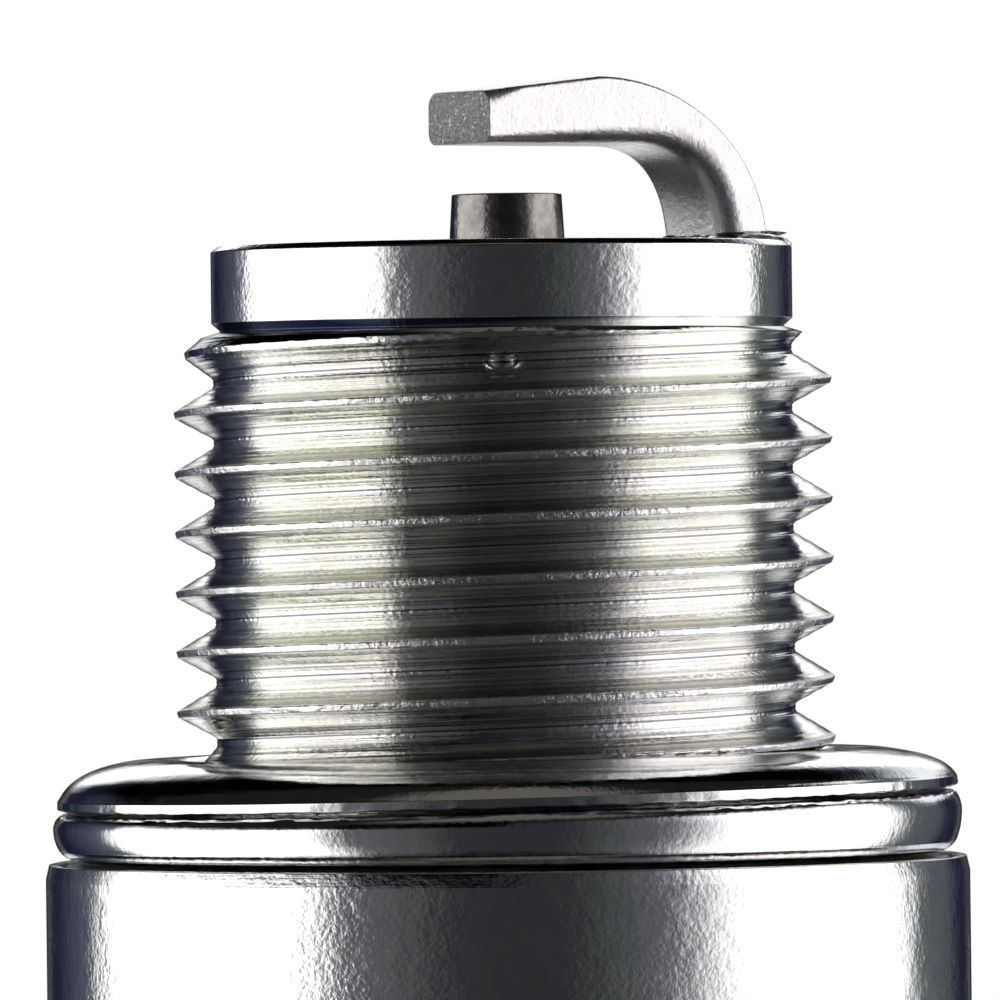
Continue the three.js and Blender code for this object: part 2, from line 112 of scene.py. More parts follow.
SURROUND = (  # (azimuth in degrees, brightness, colour); azimuth 0 is behind the plug, 90 its right side
    (-180, 0.014, (0.98, 0.96, 1.15)), (-165, 0.016, (0.98, 0.96, 1.15)), (-156, 0.04, (1, 0.9, 1)),
    (-137, 0.06, (0.92, 0.95, 1.12)), (-127, 0.8, (1, 0.98, 0.98)), (-63, 0.82, (1, 1, 0.99)),
    (-55, 0.06, (0.75, 0.88, 1.15)), (-42, 0.035, (0.7, 0.8, 1.2)), (-28, 0.01, (0.5, 0.6, 1.6)),
    (-16, 0.01, (0.5, 0.6, 1.6)), (-11, 0.5, (1, 1, 1)), (11, 0.5, (1, 1, 1)), (16, 0.008, (0.6, 0.6, 1.6)),
    (31, 0.014, (0.6, 0.7, 1.5)), (38, 0.045, (0.85, 0.95, 1.1)), (57, 0.055, (0.85, 0.97, 1.05)),
    (68, 0.82, (1, 1, 0.98)), (116, 0.82, (1, 0.98, 0.99)), (128, 0.4, (1, 0.97, 1.02)),
    (134, 0.14, (0.98, 0.97, 1.05)), (141, 0.055, (0.93, 0.95, 1.1)), (156, 0.028, (0.9, 1, 1)),
    (165, 0.014, (0.96, 0.98, 1.15)), (180, 0.014, (0.98, 0.96, 1.15)))
CEILING = (0.055, 0.052, 0.047)  # glow high up on the camera's side
CEILING_HEIGHT = 48  # it starts at this elevation
FRONT_AZIMUTH = 135  # the camera's side lies beyond this azimuth, left and right
SKY = (0.46, 0.47, 0.48)  # white over the dark cards behind the plug
SKY_AZIMUTHS = (-17, 42)
SKY_HEIGHTS = (12, 29)
BOX_TOP_LEFT = 22  # elevations where the soft boxes end
BOX_TOP_RIGHT = 36
BOX_FOOT = -46
CLOTH = 0.006  # share of the surround's brightness that is left over and under the boxes
STRIP_EDGE = 14  # the white behind the plug ends at this azimuth
STRIP_GAP = 9  # and starts this far above and below the level
STRIP_LEVEL = 0.02  # share of its brightness that is left in that gap
BACKDROP = 0.5  # the plain white that the camera sees; the world's strength makes it 1


def studio_light():
    """A white strip behind the plug, two tall soft boxes beside it, and dark cloth between and over them."""
    world = bpy.data.worlds.new("studio")
    world.use_nodes = True
    bpy.context.scene.world = world
    nodes, links = world.node_tree.nodes, world.node_tree.links
    nodes.clear()
    where = nodes.new("ShaderNodeTexCoord").outputs["Generated"]
    split = nodes.new("ShaderNodeSeparateXYZ")
    links.new(where, split.inputs[0])

    def calc(operation, *values):
        node = nodes.new("ShaderNodeMath")
        node.operation = operation
        for socket, value in zip(node.inputs, values):
            if isinstance(value, (int, float)):
                socket.default_value = value
            else:
                links.new(value, socket)
        return node.outputs[0]

    def step_up(value, edge, width):
        """0 below the edge and 1 above it, with a soft change between."""
        node = nodes.new("ShaderNodeMapRange")
        node.interpolation_type = "SMOOTHSTEP"
        links.new(value, node.inputs["Value"])
        node.inputs["From Min"].default_value = edge - width
        node.inputs["From Max"].default_value = edge + width
        return node.outputs["Result"]

    def add_glow(base, mask, color):
        node = nodes.new("ShaderNodeVectorMath")
        node.operation = "MULTIPLY_ADD"
        links.new(mask, node.inputs[0])
        node.inputs[1].default_value = color
        links.new(base, node.inputs[2])
        return node.outputs["Vector"]

    azimuth = calc("ARCTAN2", split.outputs["X"], split.outputs["Y"])
    squares = calc("POWER", split.outputs["X"], 2), calc("POWER", split.outputs["Y"], 2)
    elevation = calc("ARCTAN2", split.outputs["Z"], calc("SQRT", calc("ADD", *squares)))
    round_about = nodes.new("ShaderNodeMapRange")
    links.new(azimuth, round_about.inputs["Value"])
    round_about.inputs["From Min"].default_value = -math.pi
    round_about.inputs["From Max"].default_value = math.pi
    ramp = nodes.new("ShaderNodeValToRGB")
    links.new(round_about.outputs["Result"], ramp.inputs["Fac"])
    stops = ramp.color_ramp.elements
    while len(stops) < len(SURROUND):
        stops.new(0.5)
    for stop, (degrees, _, _) in zip(stops, SURROUND):
        stop.position = (degrees + 180) / 360
    for stop, (_, brightness, tint) in zip(stops, SURROUND):
        stop.color = (*(brightness * channel for channel in tint), 1)

    higher_right = math.radians(BOX_TOP_RIGHT - BOX_TOP_LEFT)
    top = calc("MULTIPLY_ADD", step_up(azimuth, 0, 0.2), higher_right, math.radians(BOX_TOP_LEFT))
    under_top = step_up(calc("SUBTRACT", top, elevation), 0, 0.12)
    over_foot = step_up(elevation, math.radians(BOX_FOOT), 0.15)
    height = calc("MULTIPLY_ADD", calc("MULTIPLY", under_top, over_foot), 1 - CLOTH, CLOTH)
    level = step_up(calc("ABSOLUTE", elevation), math.radians(STRIP_GAP), 0.05)
    beside = step_up(calc("ABSOLUTE", azimuth), math.radians(STRIP_EDGE), 0.02)
    height = calc("MULTIPLY", height, calc("MAXIMUM", calc("MAXIMUM", level, beside), STRIP_LEVEL))
    glow = nodes.new("ShaderNodeVectorMath")
    glow.operation = "SCALE"
    links.new(ramp.outputs["Color"], glow.inputs[0])
    links.new(height, glow.inputs["Scale"])
    in_front = step_up(calc("ABSOLUTE", azimuth), math.radians(FRONT_AZIMUTH), 0.25)
    overhead = calc("MULTIPLY", in_front, step_up(elevation, math.radians(CEILING_HEIGHT), 0.15))
    ceiling = add_glow(glow.outputs["Vector"], overhead, CEILING)
    start, end = (math.radians(angle) for angle in SKY_AZIMUTHS)
    behind = calc("SUBTRACT", step_up(azimuth, start, 0.05), step_up(azimuth, end, 0.1))
    start, end = (math.radians(angle) for angle in SKY_HEIGHTS)
    over_cards = calc("SUBTRACT", step_up(elevation, start, 0.05), step_up(elevation, end, 0.14))
    sky = add_glow(ceiling, calc("MULTIPLY", behind, over_cards), SKY)

    path = nodes.new("ShaderNodeLightPath")
    seen = nodes.new("ShaderNodeMix")
    seen.data_type = "RGBA"
    links.new(path.outputs["Is Camera Ray"], seen.inputs["Factor"])
    links.new(sky, seen.inputs["A"])
    seen.inputs["B"].default_value = (BACKDROP, BACKDROP, BACKDROP, 1)
    background = nodes.new("ShaderNodeBackground")
    background.inputs["Strength"].default_value = 1 / BACKDROP
    links.new(seen.outputs["Result"], background.inputs["Color"])
    output = nodes.new("ShaderNodeOutputWorld")
    links.new(background.outputs[0], output.inputs["Surface"])


def floor():
    """A round pale floor, clear of the terminal nut where it is pulled off furthest."""
    mesh = bmesh.new()
    bmesh.ops.create_circle(mesh, cap_ends=True, segments=96, radius=1.2)
    data = bpy.data.meshes.new("floor")
    mesh.to_mesh(data)
    mesh.free()
    disc = bpy.data.objects.new("floor", data)
    disc.location.z = (NUT_END_Z - NUT_TRAVEL - 0.5) * MM
    bpy.context.collection.objects.link(disc)
    paint = bpy.data.materials.new("floor")
    paint.use_nodes = True
    shader = paint.node_tree.nodes["Principled BSDF"]
    shader.inputs["Base Color"].default_value = (0.86, 0.86, 0.86, 1)
    shader.inputs["Roughness"].default_value = 0.8
    shader.inputs["Emission Color"].default_value = (1, 1, 1, 1)
    shader.inputs["Emission Strength"].default_value = 0.45
    data.materials.append(paint)
    disc.visible_glossy = False


# ---------------------------------------------------------------- mesh helpers

COLUMNS = 720
FEWER_COLUMNS = 240  # for the plain inner and lower pieces
STEP = 0.3  # longest straight piece of an outline


def rounded(outline, closed=False):
    """(radius, z, fillet) corners as a fine line of (radius, z), each corner an arc of its fillet."""
    corners = [np.array(corner[:2], float) for corner in outline]
    fillets = [corner[2] if len(corner) > 2 else 0 for corner in outline]
    count = len(corners)
    line = []
    for index, (corner, fillet) in enumerate(zip(corners, fillets)):
        if not closed and index in (0, count - 1) or fillet == 0:
            line.append(corner)
            continue
        before = corners[index - 1] - corner
        after = corners[(index + 1) % count] - corner
        into, out = before / np.linalg.norm(before), after / np.linalg.norm(after)
        half = math.acos(np.clip(into @ out, -1, 1)) / 2
        reach = fillet / math.tan(half)
        centre = corner + (into + out) / np.linalg.norm(into + out) * fillet / math.sin(half)
        start, end = corner + into * reach - centre, corner + out * reach - centre
        turn = math.atan2(start[0] * end[1] - start[1] * end[0], start @ end)
        steps = max(3, math.ceil(abs(turn) / math.radians(9)))
        for step in range(steps + 1):
            angle = turn * step / steps
            spin = np.array([[math.cos(angle), -math.sin(angle)], [math.sin(angle), math.cos(angle)]])
            line.append(centre + spin @ start)
    ends = line[1:] + ([line[0]] if closed else [])
    fine = []
    for first, second in zip(line, ends):
        steps = max(1, math.ceil(np.linalg.norm(second - first) / STEP))
        fine += [first + (second - first) * step / steps for step in range(steps)]
    if not closed:
        fine.append(line[-1])
    return np.array(fine)


def curved(points, steps=10):
    """A smooth line through (radius, z) points."""
    points = np.array([points[0], *points, points[-1]], float)
    t = np.linspace(0, 1, steps, endpoint=False)[:, None]
    line = []
    for a, b, c, d in zip(points, points[1:], points[2:], points[3:]):
        line.append(b + 0.5 * t * (c - a + t * (2 * a - 5 * b + 4 * c - d + t * (3 * (b - c) + d - a))))
    return np.concatenate([*line, points[-1:]])


def wobble(points, per_mm, seed):
    """Smooth noise from about -1 to 1 at each of the points."""
    flat = points.reshape(-1, 3) * per_mm + 17.3 * (seed + 1)
    values = [noise.noise(Vector(point)) for point in flat.tolist()]
    return np.array(values).reshape(points.shape[:-1])


def ring_rows(line, columns=COLUMNS):
    """Rows of points round the axis, one for each (radius, z), the first point repeated at the end."""
    angle = np.linspace(0, 2 * math.pi, columns + 1)
    radius, height = line[:, :1], line[:, 1:]
    return np.stack(
        [radius * np.cos(angle), radius * np.sin(angle), np.broadcast_to(height, (len(line), columns + 1))],
        axis=-1,
    )


def make_object(name, points, faces, material):
    """A smooth mesh object from points in millimetres."""
    data = bpy.data.meshes.new(name)
    data.from_pydata((points * MM).tolist(), [], faces)
    data.polygons.foreach_set("use_smooth", [True] * len(data.polygons))
    data.materials.append(material)
    made = bpy.data.objects.new(name, data)
    bpy.context.collection.objects.link(made)
    return made


def surface(name, rows, material, closed=False):
    """The mesh through rows of points. Points that coincide become one, and faces that vanish go."""
    count, width = rows.shape[:2]
    points = rows.reshape(-1, 3)
    keys = np.round(points / 1e-5 + 0.37).astype(np.int64)
    _, first, inverse = np.unique(keys, axis=0, return_index=True, return_inverse=True)
    inverse = inverse.reshape(count, width)
    lower = inverse if closed else inverse[:-1]
    upper = np.roll(inverse, -1, axis=0) if closed else inverse[1:]
    quads = np.stack([lower[:, :-1], lower[:, 1:], upper[:, 1:], upper[:, :-1]], axis=-1).reshape(-1, 4)
    faces = []
    for quad in quads.tolist():
        face = list(dict.fromkeys(quad))
        if len(face) > 2:
            faces.append(face)
    return make_object(name, points[first], faces, material)


def turned(name, outline, material, columns):
    """A closed ring turned from an outline of (radius, z, fillet) corners."""
    return surface(name, ring_rows(rounded(outline, closed=True), columns), material, closed=True)


def place(piece, body, slot, *nodes):
    """Rides the piece on its body and hides the CAD nodes it stands for; the slot is not used."""
    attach(piece, body)
    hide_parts(*nodes)


# ---------------------------------------------------------------- materials


# Painted shade: dark, partly brownish bands just above each crest, at the root, on the lower flank and under
# the crest, in place of dark reflections on the flanks.
THREAD_SHADE_BANDS = (  # (place in the pitch above a crest, grey that the plate is multiplied by, its warmth); the dark greys are painted shade
    (0.0, 1, 0), (0.03, 1, 0), (0.055, 0.36, 0.1), (0.15, 0.52, 0.12), (0.21, 1, 0.03), (0.495, 1, 0.02),
    (0.51, 0.25, 0), (0.53, 0.25, 0), (0.545, 1, 0), (0.63, 1, 0.02), (0.645, 0.35, 0), (0.66, 0.35, 0),
    (0.675, 1, 0.03), (0.855, 1, 0.03), (0.88, 0.55, 0.03), (0.9, 1, 0), (1.0, 1, 0))
LAST_VALLEY_SHADE = (9.1, 9.2)  # pitches above the seat at azimuth 0 where the painted dark shade of the last groove starts


class Shader:
    """A node-based material with short calls for the nodes that all of them use."""

    def __init__(self, name, color, metallic, roughness):
        self.material = bpy.data.materials.new(name)
        self.material.use_nodes = True
        self.nodes = self.material.node_tree.nodes
        self.links = self.material.node_tree.links
        self.principled = self.nodes["Principled BSDF"]
        self.principled.inputs["Base Color"].default_value = (*color, 1)
        self.principled.inputs["Metallic"].default_value = metallic
        self.principled.inputs["Roughness"].default_value = roughness
        self.where = self.nodes.new("ShaderNodeTexCoord").outputs["Object"]
        self.height = None

    def link(self, value, socket):
        if isinstance(value, (int, float)):
            socket.default_value = value
        elif isinstance(value, tuple):
            socket.default_value = (*value, 1)
        else:
            self.links.new(value, socket)

    def stretched(self, scale):
        node = self.nodes.new("ShaderNodeMapping")
        self.links.new(self.where, node.inputs["Vector"])
        node.inputs["Scale"].default_value = scale
        return node.outputs["Vector"]

    def noise(self, per_mm, detail, where=None, rough=0.5):
        node = self.nodes.new("ShaderNodeTexNoise")
        self.links.new(where or self.where, node.inputs["Vector"])
        node.inputs["Scale"].default_value = per_mm / MM
        node.inputs["Detail"].default_value = detail
        node.inputs["Roughness"].default_value = rough
        return node.outputs["Fac"]

    def remap(self, value, start, end, low_out=0.0, high_out=1.0):
        node = self.nodes.new("ShaderNodeMapRange")
        self.links.new(value, node.inputs["Value"])
        settings = {"From Min": start, "From Max": end, "To Min": low_out, "To Max": high_out}
        for socket, number in settings.items():
            node.inputs[socket].default_value = number
        return node.outputs["Result"]

    def calc(self, operation, first, second):
        node = self.nodes.new("ShaderNodeMath")
        node.operation = operation
        self.link(first, node.inputs[0])
        self.link(second, node.inputs[1])
        return node.outputs[0]

    def mix(self, factor, first, second, blend="MIX"):
        node = self.nodes.new("ShaderNodeMix")
        node.data_type = "RGBA"
        node.blend_type = blend
        self.link(factor, node.inputs["Factor"])
        self.link(first, node.inputs["A"])
        self.link(second, node.inputs["B"])
        return node.outputs["Result"]

    def thread_marks_and_shade(self, color):
        """The colour with lines rolled in along the helix, painted shade in dark bands beside each crest and
        at the root, and painted shade over the last groove under the nose.
        """
        x, y, z = self.split_where()
        turn = self.calc("DIVIDE", self.calc("ARCTAN2", y, x), 2 * math.pi)
        height = self.calc("SUBTRACT", self.calc("DIVIDE", z, PITCH * MM), turn)
        height = self.calc("SUBTRACT", height, PHASE_Z / PITCH)
        place_in_pitch = self.calc("FRACT", height, 0)
        # Painted shade: dark bands across the thread by place in the pitch.
        ramp = self.nodes.new("ShaderNodeValToRGB")
        self.links.new(place_in_pitch, ramp.inputs["Fac"])
        stops = ramp.color_ramp.elements
        while len(stops) < len(THREAD_SHADE_BANDS):
            stops.new(0.5)
        for stop, tint in zip(stops, THREAD_SHADE_BANDS):
            stop.position = tint[0]
        for stop, (_, grey, warmth) in zip(stops, THREAD_SHADE_BANDS):
            stop.color = (grey, grey, grey * (1 - warmth), 1)
        across = self.nodes.new("ShaderNodeCombineXYZ")
        self.link(self.calc("MULTIPLY", height, 16), across.inputs[0])
        self.link(self.calc("MULTIPLY", turn, 2.5), across.inputs[1])
        lines = self.nodes.new("ShaderNodeTexNoise")
        self.links.new(across.outputs[0], lines.inputs["Vector"])
        lines.inputs["Scale"].default_value = 1
        lines.inputs["Detail"].default_value = 2
        rolled = self.remap(lines.outputs["Fac"], 0.52, 0.62)
        # The rolled lines are real marks; the ramp under them is painted shade.
        lined_and_shaded = self.mix(self.calc("MULTIPLY", rolled, 0.3), ramp.outputs["Color"], (0.4, 0.38, 0.34))
        on_thread = self.between(THREAD_LOW_Z, THREAD_HIGH_Z)
        marked_and_shaded = self.mix(on_thread, color, self.mix(1.0, color, lined_and_shaded, "MULTIPLY"))
        # Painted shade: the last groove under the nose is turned dark navy.
        under_nose = self.between(THREAD_LOW_Z, NOSE_LAND_Z - 0.01)
        valley_shade = self.calc("MULTIPLY", self.remap(height, *LAST_VALLEY_SHADE), under_nose)
        return self.mix(valley_shade, marked_and_shaded, (0.06, 0.07, 0.13))

    def split_where(self):
        split = self.nodes.new("ShaderNodeSeparateXYZ")
        self.links.new(self.where, split.inputs[0])
        return split.outputs

    def between(self, low_z, high_z):
        """1 between two heights."""
        z = self.split_where()[2]
        above = self.calc("GREATER_THAN", z, low_z * MM)
        return self.calc("MULTIPLY", above, self.calc("LESS_THAN", z, high_z * MM))

    def crest_mask(self, inner_r, outer_r):
        """1 at the thread's crests."""
        x, y, _ = self.split_where()
        radius = self.calc("SQRT", self.calc("ADD", self.calc("POWER", x, 2), self.calc("POWER", y, 2)), 0)
        out = self.remap(radius, inner_r * MM, outer_r * MM)
        return self.calc("MULTIPLY", out, self.between(THREAD_LOW_Z, THREAD_HIGH_Z))

    def set(self, socket, value):
        self.link(value, self.principled.inputs[socket])

    def bump(self, height, depth_mm):
        """Adds a relief depth_mm high where height runs from 0 to 1."""
        node = self.nodes.new("ShaderNodeBump")
        node.inputs["Strength"].default_value = 1
        node.inputs["Distance"].default_value = depth_mm * MM
        self.links.new(height, node.inputs["Height"])
        if self.height is not None:
            self.links.new(self.height, node.inputs["Normal"])
        self.height = node.outputs["Normal"]
        self.links.new(self.height, self.principled.inputs["Normal"])


def plated_steel(name, roughness=0.1, relief=0.012, crests=None):
    """Bright zinc plate: a faint film of colour, soft stains, an orange-peel skin and turning lines.

    Where crests is given as (inner radius, outer radius), the plate has the thread's rolled marks, painted
    shade in bands by the crests and over the last groove under the nose, and dull crests.
    """
    shader = Shader(name, (0.9, 0.9, 0.87), 1, roughness)
    film = shader.noise(0.13, 2)
    cool = shader.mix(shader.remap(film, 0.35, 0.65), (0.92, 0.93, 0.87), (0.93, 0.92, 0.92))
    specks = shader.remap(shader.noise(2.4, 3), 0.42, 0.6)
    tinted = shader.mix(shader.calc("MULTIPLY", specks, 0.35), cool, (0.8, 0.82, 0.9))
    blotch = shader.remap(shader.noise(0.7, 4), 0.45, 0.75)
    film_color = shader.mix(shader.calc("MULTIPLY", blotch, 0.3), tinted, (0.84, 0.76, 0.82))
    shader.set("Base Color", film_color)
    shine = shader.remap(shader.noise(1.6, 5), 0.3, 0.75, roughness - 0.03, roughness + 0.08)
    flecks = shader.remap(shader.noise(6, 4), 0.6, 0.68)
    shine = shader.calc("ADD", shine, shader.calc("MULTIPLY", flecks, 0.05))
    if crests:
        # The thread's rolled lines, with painted shade in bands by the crests and over the last groove.
        shader.set("Base Color", shader.thread_marks_and_shade(film_color))
        dull = shader.crest_mask(*crests)
        shine = shader.calc("ADD", shine, shader.calc("MULTIPLY", dull, 0.18))
        shader.bump(shader.calc("MULTIPLY", shader.noise(12, 4), dull), 0.02)
    shader.set("Roughness", shine)
    patch = shader.remap(shader.noise(0.35, 2), 0.35, 0.65, 0.3, 1)
    shader.bump(shader.calc("MULTIPLY", shader.noise(9, 4), patch), relief)
    mottle = shader.noise(2.6, 3)
    if crests:
        mottle = shader.calc("MULTIPLY", mottle, shader.calc("SUBTRACT", 1, shader.between(0, NOSE_LAND_Z)))
    shader.bump(mottle, relief * 1.1)
    lines = shader.noise(1, 3, shader.stretched((0.25, 0.25, 14)))
    shader.bump(lines, relief * 0.4)
    return shader.material


def nickel_alloy():
    """Satin nickel alloy: fine drawn grain, faint pink bloom."""
    shader = Shader("ground_nickel", (0.9, 0.88, 0.89), 0.94, 0.3)
    x, y, _ = shader.split_where()
    along_x = shader.calc("MULTIPLY", x, math.cos(GROUND_TURN))
    along = shader.calc("ADD", along_x, shader.calc("MULTIPLY", y, math.sin(GROUND_TURN)))
    sheared = shader.calc("LESS_THAN", along, -BAR_REACH * MM)
    bloom = shader.remap(shader.noise(1.1, 3), 0.3, 0.85)
    drawn = shader.mix(bloom, (0.95, 0.93, 0.94), (0.88, 0.82, 0.88))
    grain = shader.remap(shader.noise(13, 4, rough=0.7), 0.38, 0.62)
    torn = shader.mix(grain, (0.55, 0.57, 0.57), (1, 1, 1))
    shader.set("Base Color", shader.mix(sheared, drawn, torn))
    smooth = shader.remap(shader.noise(2, 4), 0.3, 0.7, 0.2, 0.36)
    shader.set("Roughness", shader.calc("MAXIMUM", smooth, shader.calc("MULTIPLY", sheared, 0.4)))
    shader.bump(shader.noise(9, 5, rough=0.65), 0.016)
    shader.bump(shader.calc("MULTIPLY", grain, sheared), 0.03)
    return shader.material


def weld_scale():
    """Dark, burnt weld metal with a few bright beads."""
    shader = Shader("weld_scale", (0.1, 0.09, 0.09), 1, 0.3)
    bare = shader.remap(shader.noise(3.5, 4), 0.55, 0.62)
    shader.set("Base Color", shader.mix(bare, (0.09, 0.085, 0.085), (0.85, 0.84, 0.82)))
    shader.bump(shader.noise(9, 4), 0.02)
    return shader.material


def dark_nickel():
    """Darkened nickel alloy with an uneven, faintly etched skin."""
    shader = Shader("centre_nickel", (0.2, 0.195, 0.19), 1, 0.3)
    etched = shader.remap(shader.noise(2.2, 6, rough=0.7), 0.4, 0.65)
    shader.set("Base Color", shader.mix(etched, (0.2, 0.19, 0.18), (0.36, 0.34, 0.32)))
    shader.set("Roughness", shader.remap(shader.noise(3, 4), 0.3, 0.7, 0.12, 0.24))
    shader.bump(shader.noise(8, 4), 0.012)
    return shader.material


def plain_steel():
    """Dull steel with no plate."""
    shader = Shader("plain_steel", (0.55, 0.56, 0.57), 1, 0.4)
    shader.set("Roughness", shader.remap(shader.noise(2, 4), 0.3, 0.7, 0.3, 0.5))
    shader.bump(shader.noise(6, 3), 0.002)
    return shader.material


def glazed_alumina():
    """White ceramic with a few faint specks under a clear glaze."""
    shader = Shader("alumina", (0.93, 0.92, 0.89), 0, 0.08)
    speck = shader.remap(shader.noise(3, 3), 0.72, 0.76)
    faint = shader.calc("MULTIPLY", speck, 0.3)
    shader.set("Base Color", shader.mix(faint, (0.93, 0.92, 0.89), (0.6, 0.55, 0.48)))
    shader.set("Coat Weight", 0.6)
    shader.set("Coat Roughness", 0.04)
    shader.set("Subsurface Weight", 0.1)
    shader.principled.inputs["Subsurface Scale"].default_value = 0.6 * MM
    shader.bump(shader.noise(0.6, 2), 0.01)
    return shader.material


def copper():
    """Plain copper, dull in places."""
    shader = Shader("copper", (0.86, 0.5, 0.36), 1, 0.3)
    shader.set("Roughness", shader.remap(shader.noise(2, 4), 0.3, 0.7, 0.25, 0.45))
    return shader.material


def powder(name, color, deep):
    """Pressed or fused powder, its colour running unevenly into a deeper one."""
    shader = Shader(name, color, 0, 0.9)
    shader.set("Base Color", shader.mix(shader.noise(5, 5), color, deep))
    shader.bump(shader.noise(8, 5), 0.03)
    return shader.material


MATERIALS = {
    "plated_shell": plated_steel("plated_shell", 0.1, 0.011, (CREST_R - 0.14, CREST_R - 0.06)),
    "gasket_steel": plated_steel("gasket_steel", 0.09, 0.006),
    "terminal_plate": plated_steel("terminal_plate", 0.1, 0.004),
    "ground_nickel": nickel_alloy(),
    "weld_scale": weld_scale(),
    "centre_nickel": dark_nickel(),
    "plain_steel": plain_steel(),
    "alumina": glazed_alumina(),
    "copper": copper(),
    "talc": powder("talc", (0.85, 0.83, 0.78), (0.74, 0.72, 0.67)),
    "seal_glass": powder("seal_glass", (0.3, 0.22, 0.16), (0.18, 0.12, 0.09)),
    "resistor_mix": powder("resistor_mix", (0.1, 0.1, 0.11), (0.05, 0.05, 0.05)),
}


# ---------------------------------------------------------------- shell

TOP_GROOVE_R = 5.95
FIRST_TURN = 0.9  # the thread starts this many turns up its helix
RUN_OUT = 0.3  # and reaches its full depth in this share of a turn
TOOTH_SIZE = (2.0, 2.4, 10.2, 10.65, 11.3), (0.55, 1, 1, 0.7, 0.5)  # heights, shares of the full tooth
LAPS = range(-2, 12)  # of the helix, from under the thread's low end to over its high end
CREST_HALF = 0.045  # half the crest's width
BEVEL_LOW, BEVEL_IN = 0.1, 0.04  # the crest's worn lower edge
ROOT_FILLET = 0.12
ROLL_MARKS = 0.012
CREST_BURR = 0.014
NICK_ANGLE = 1.5 * math.pi
NICK_Z = 10.35


def thread_section():
    """One pitch of the thread as (offset from the crest's middle, share of the thread's height)."""
    flank = math.tan(math.radians(30))
    height = CREST_R - ROOT_R
    root_half = PITCH / 2 - CREST_HALF - height * flank
    outline = [
        (-PITCH / 2, 0.0),
        (-PITCH / 2 + root_half, 0.0, ROOT_FILLET),
        (-BEVEL_LOW, height - BEVEL_IN, 0.04),
        (CREST_HALF / 2, height, 0.04),
        (PITCH / 2 - root_half, 0.0, ROOT_FILLET),
        (PITCH / 2, 0.0),
    ]
    line = rounded(outline)
    fine = [line[0]]
    for first, second in zip(line, line[1:]):
        steps = max(1, math.ceil(np.linalg.norm(second - first) / 0.035))
        fine += [first + (second - first) * step / steps for step in range(1, steps + 1)]
    section = np.array(fine)[:-1]
    along = section[:, 0]
    marks = 0.5 * np.sin(along * 47) + 0.3 * np.sin(along * 81 + 1) + 0.4 * np.sin(along * 29)
    section[:, 1] += ROLL_MARKS * marks * (section[:, 1] < height * 0.8)
    return section


def nick(angle, z):
    """A dent with a raised, crescent-shaped edge where the thread was struck, under its first crest."""
    half_width, half_height = 0.3, 0.17
    across = np.sin(angle - NICK_ANGLE) * ROOT_R / half_width
    along = (z - NICK_Z) / half_height
    away = np.where(np.cos(angle - NICK_ANGLE) > 0, np.hypot(across, along), 9)
    edge = np.exp(-((away - 1) / 0.25) ** 2) * np.clip(0.4 - along, 0, 1)
    return 0.07 * edge - 0.09 * np.exp(-((away / 0.7) ** 2))


def thread_rows():
    """Rows that follow the helix, cut off level at the thread's two ends."""
    section = thread_section()
    turn = np.linspace(0, 1, COLUMNS + 1)
    angle = 2 * math.pi * turn
    around = np.stack([np.cos(angle), np.sin(angle)], axis=-1)
    rows = []
    for lap in LAPS:
        for offset in section[:, 0]:
            z = PHASE_Z + PITCH * (turn + lap) + offset
            if z.max() < THREAD_LOW_Z or z.min() > THREAD_HIGH_Z:
                continue
            height = np.clip(z, THREAD_LOW_Z, THREAD_HIGH_Z)
            turns = (height - PHASE_Z) / PITCH - turn
            beside_crest = (turns + 0.5) % 1 - 0.5
            rise = np.interp(beside_crest * PITCH, *section.T)
            full = np.clip((turns + turn - beside_crest - FIRST_TURN) / RUN_OUT, 0, 1)
            full = full * full * (3 - 2 * full)
            crest = np.clip((rise - 0.5) / (CREST_R - ROOT_R - 0.5), 0, 1) ** 3
            burr = wobble(np.stack([*(around * CREST_R).T, height * 2], axis=-1), 3.5, seed=1)
            burr += 0.8 * wobble(np.stack([*(around * CREST_R).T, height * 4], axis=-1), 8, seed=2)
            tooth = rise * np.interp(height - beside_crest * PITCH, *TOOTH_SIZE)
            cut = full * (ROOT_R - NOSE_R + tooth + CREST_BURR * crest * burr)
            radius = NOSE_R + cut + nick(angle, height)
            rows.append(np.stack([*(around * radius[:, None]).T, height], axis=-1))
    return np.array(rows)


